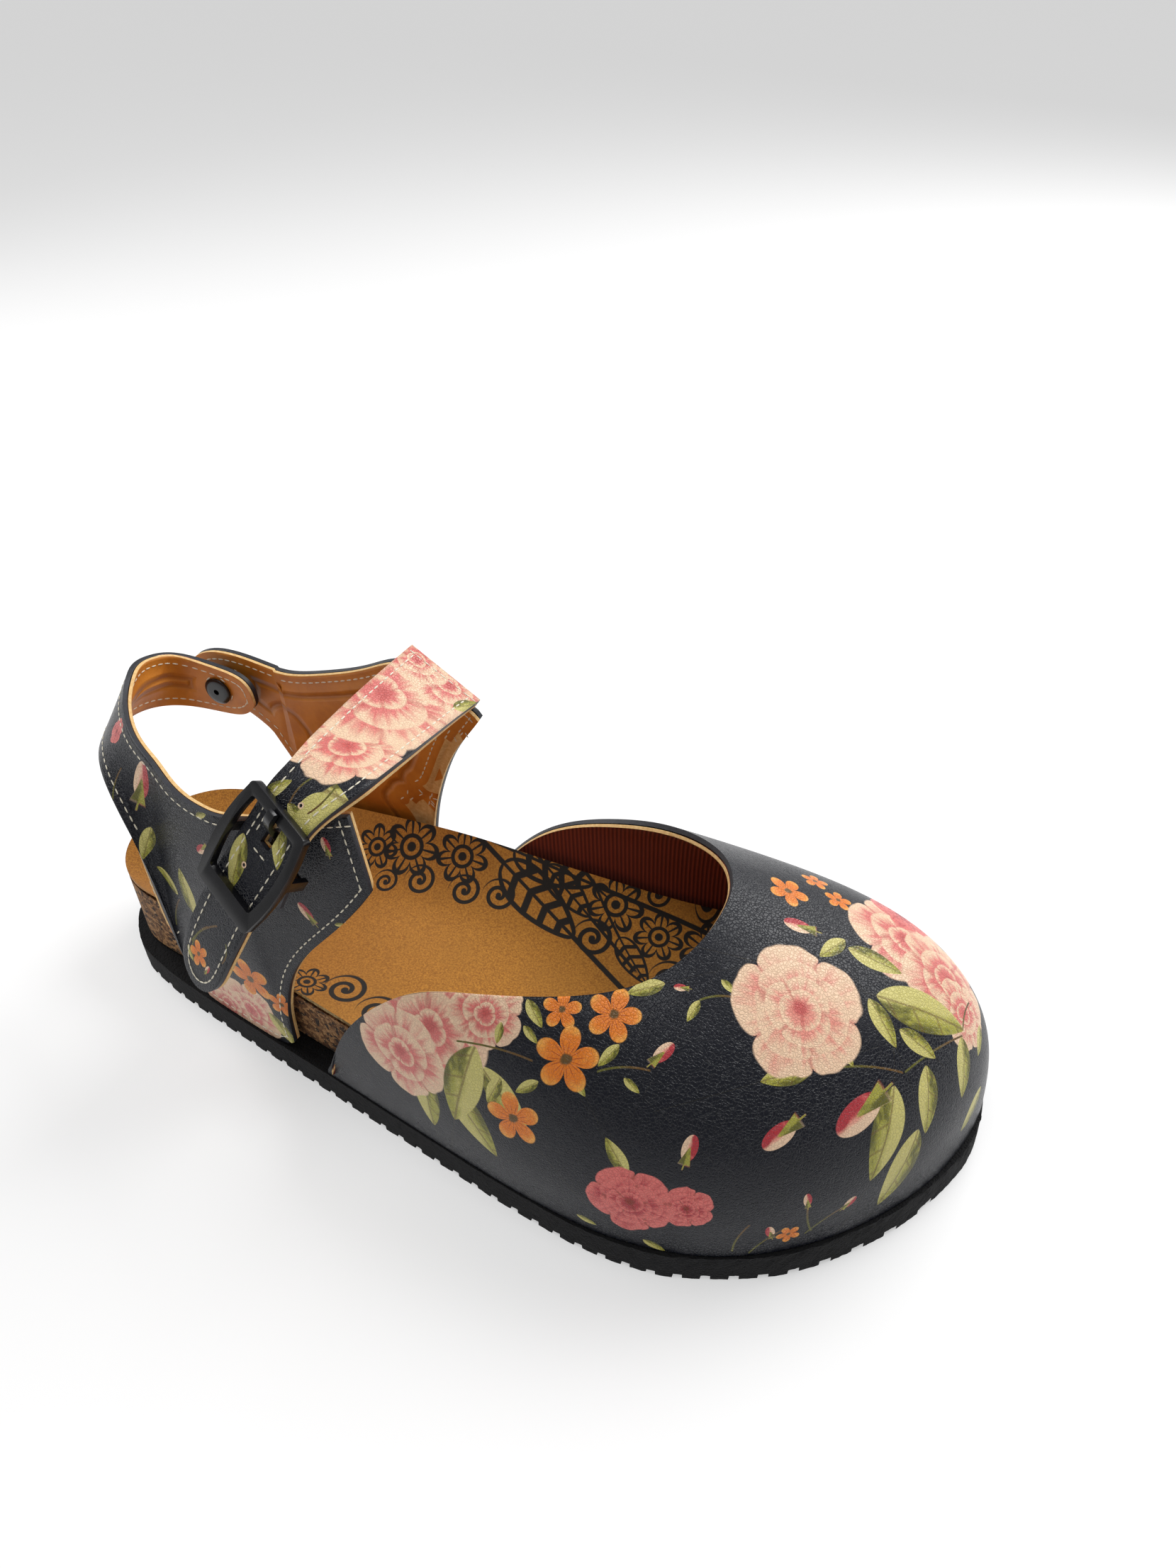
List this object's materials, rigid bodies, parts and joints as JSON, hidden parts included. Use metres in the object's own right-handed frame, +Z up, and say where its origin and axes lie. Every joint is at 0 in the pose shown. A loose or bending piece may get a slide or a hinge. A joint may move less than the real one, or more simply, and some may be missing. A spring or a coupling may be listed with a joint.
{
  "type": "clog",
  "caption": "Closed-toe clog sandal: contoured cork footbed on a ribbed sole, leather toe cover, padded quarters, buckled instep strap and snap-fastened heel sling.",
  "frame": {"origin": "on the floor, on the tread under the middle of the sole's length", "axes": "+X along the sole to the toe, +Y to the inner (big toe) side, +Z up; right-foot shoe"},
  "size_m": [0.2483, 0.103, 0.1034],
  "materials": {
    "tan_suede": "suede",
    "jute": "woven",
    "cork": "granular cork",
    "sole_rubber": "matt foamed",
    "printed_leather": "semi-gloss, printed with flowers",
    "leather_lining": "smooth matt",
    "textile_lining": "ribbed",
    "stiffener": "pressed fibre sheet",
    "foam": "soft open-cell foam",
    "black_metal": "gloss black enamel"
  },
  "bodies": {
    "clog_body": {"suede_footbed_cover": "tan_suede", "upper_jute_layer": "jute", "cork_footbed": "cork", "lower_jute_layer": "jute", "outsole": "sole_rubber", "toe_cover_leather": "printed_leather", "toe_cover_lining": "textile_lining", "toe_puff_stiffener": "stiffener", "outer_quarter_leather": "printed_leather", "outer_quarter_lining": "leather_lining", "outer_quarter_foam": "foam", "inner_quarter_leather": "printed_leather", "inner_quarter_lining": "leather_lining", "inner_quarter_foam": "foam", "snap_eyelet": "black_metal", "snap_stud": "black_metal", "instep_strap_leather": "printed_leather", "instep_strap_lining": "leather_lining", "buckle_keeper_loop": "printed_leather"},
    "sling_tab": {"sling_tab_leather": "printed_leather", "sling_tab_lining": "leather_lining", "snap_socket": "black_metal", "snap_cap": "black_metal"},
    "strap_tip": {"strap_tip_leather": "printed_leather", "strap_tip_lining": "leather_lining"},
    "buckle": {"buckle_frame": "black_metal"},
    "prong": {"buckle_prong": "black_metal"}
  },
  "joints": [
    {"name": "sling_tab_open", "type": "hinge", "parent": "clog_body", "child": "sling_tab", "pos_m": [-0.0852, 0.0325, 0.066], "axis": [0, 0, -1], "range_deg": [0, 75]},
    {"name": "strap_tip_lift", "type": "hinge", "parent": "clog_body", "child": "strap_tip", "pos_m": [-0.0411, -0.0496, 0.0746], "axis": [-0.8685, 0.3875, 0.3091], "range_deg": [0, 60]},
    {"name": "buckle_frame_pivot", "type": "hinge", "parent": "clog_body", "child": "buckle", "pos_m": [-0.033, -0.0392, 0.0837], "axis": [-0.8685, 0.3875, 0.3091], "range_deg": [-1.5, 0.8]},
    {"name": "buckle_prong_pivot", "type": "hinge", "parent": "buckle", "child": "prong", "pos_m": [-0.033, -0.0392, 0.0837], "axis": [0.8685, -0.3875, -0.3091], "range_deg": [0, 5]}
  ]
}
